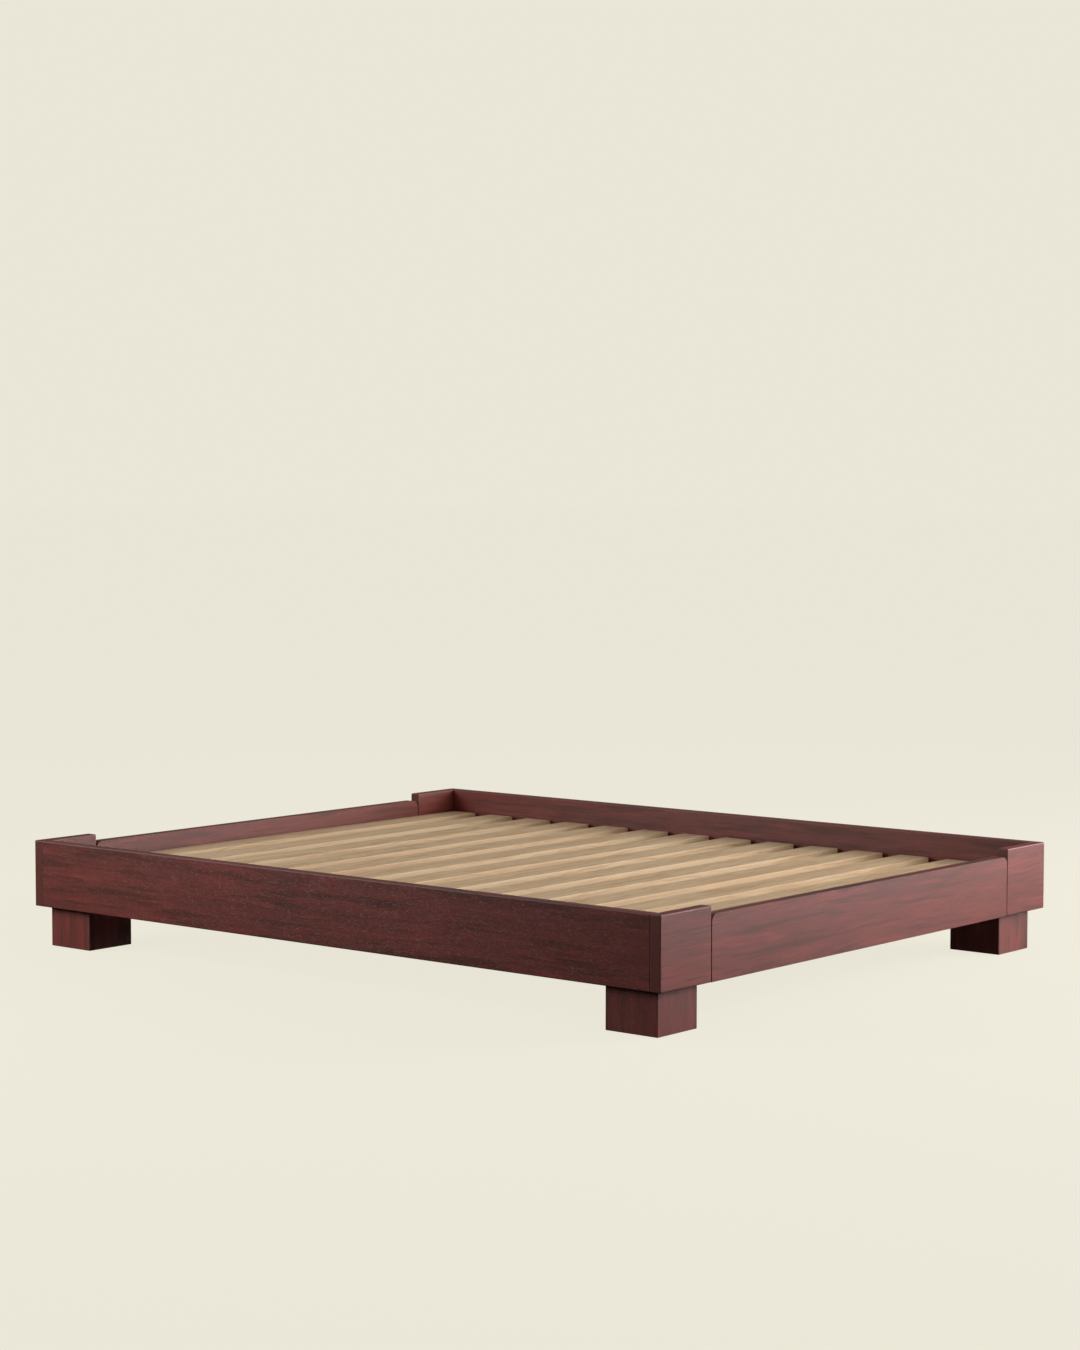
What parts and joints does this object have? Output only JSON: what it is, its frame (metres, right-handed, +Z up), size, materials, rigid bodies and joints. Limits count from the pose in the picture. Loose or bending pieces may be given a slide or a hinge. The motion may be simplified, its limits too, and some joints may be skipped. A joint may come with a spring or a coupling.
{
  "type": "platform bed frame",
  "caption": "Low wooden platform bed frame: plank surround with raised corners on block feet, carrying a lift-out roll of slats over ledgers and a centre beam.",
  "frame": {"origin": "on the floor, under the middle of the frame", "axes": "+X to the right long side seen from the foot end, +Y to the head end, +Z up"},
  "size_m": [1.7, 2.1, 0.288],
  "materials": {
    "stained_wood": "red-brown stained wood, satin lacquer",
    "pale_wood": "planed softwood, unfinished",
    "beech_dowel": "raw beech",
    "zinc_steel": "zinc-plated steel",
    "black_plastic": "matt black moulded plastic",
    "grey_felt": "pressed felt",
    "tape_cloth": "woven cotton tape"
  },
  "bodies": {
    "frame": {"beam_shoe_foot": "zinc_steel", "beam_shoe_head": "zinc_steel", "board_screw_foot_left": "zinc_steel", "board_screw_foot_right": "zinc_steel", "board_screw_head_left": "zinc_steel", "board_screw_head_right": "zinc_steel", "centre_beam": "pale_wood", "centre_leg": "pale_wood", "corner_board_foot_left": "stained_wood", "corner_board_foot_right": "stained_wood", "corner_board_head_left": "stained_wood", "corner_board_head_right": "stained_wood", "corner_post_foot_left": "stained_wood", "corner_post_foot_right": "stained_wood", "corner_post_head_left": "stained_wood", "corner_post_head_right": "stained_wood", "dowel_foot_left": "beech_dowel", "dowel_foot_right": "beech_dowel", "dowel_head_left": "beech_dowel", "dowel_head_right": "beech_dowel", "end_board_foot": "stained_wood", "end_board_head": "stained_wood", "end_ledger_foot": "pale_wood", "end_ledger_head": "pale_wood", "felt_pad_foot_left": "grey_felt", "felt_pad_foot_right": "grey_felt", "felt_pad_head_left": "grey_felt", "felt_pad_head_right": "grey_felt", "leg_bolt": "zinc_steel", "leg_nut": "zinc_steel", "rail_screw_foot_left": "zinc_steel", "rail_screw_foot_right": "zinc_steel", "rail_screw_head_left": "zinc_steel", "rail_screw_head_right": "zinc_steel", "side_ledger_left": "pale_wood", "side_ledger_right": "pale_wood", "side_rail_left": "stained_wood", "side_rail_right": "stained_wood", "steel_angle_foot_left": "zinc_steel", "steel_angle_foot_right": "zinc_steel", "steel_angle_head_left": "zinc_steel", "steel_angle_head_right": "zinc_steel", "threaded_insert": "zinc_steel"},
    "slat_roll": {"slat_01": "pale_wood", "slat_02": "pale_wood", "slat_03": "pale_wood", "slat_04": "pale_wood", "slat_05": "pale_wood", "slat_06": "pale_wood", "slat_07": "pale_wood", "slat_08": "pale_wood", "slat_09": "pale_wood", "slat_10": "pale_wood", "slat_11": "pale_wood", "slat_12": "pale_wood", "slat_13": "pale_wood", "slat_14": "pale_wood", "slat_tape_left": "tape_cloth", "slat_tape_right": "tape_cloth"},
    "glide": {"levelling_glide": "black_plastic"}
  },
  "joints": [
    {"name": "slat_roll_lift", "type": "slide", "parent": "frame", "child": "slat_roll", "axis": [0, 0, 1], "range_m": [0, 0.2]},
    {"name": "glide_screw", "type": "slide", "parent": "frame", "child": "glide", "axis": [0, 0, 1], "range_m": [0, 0.006]}
  ]
}
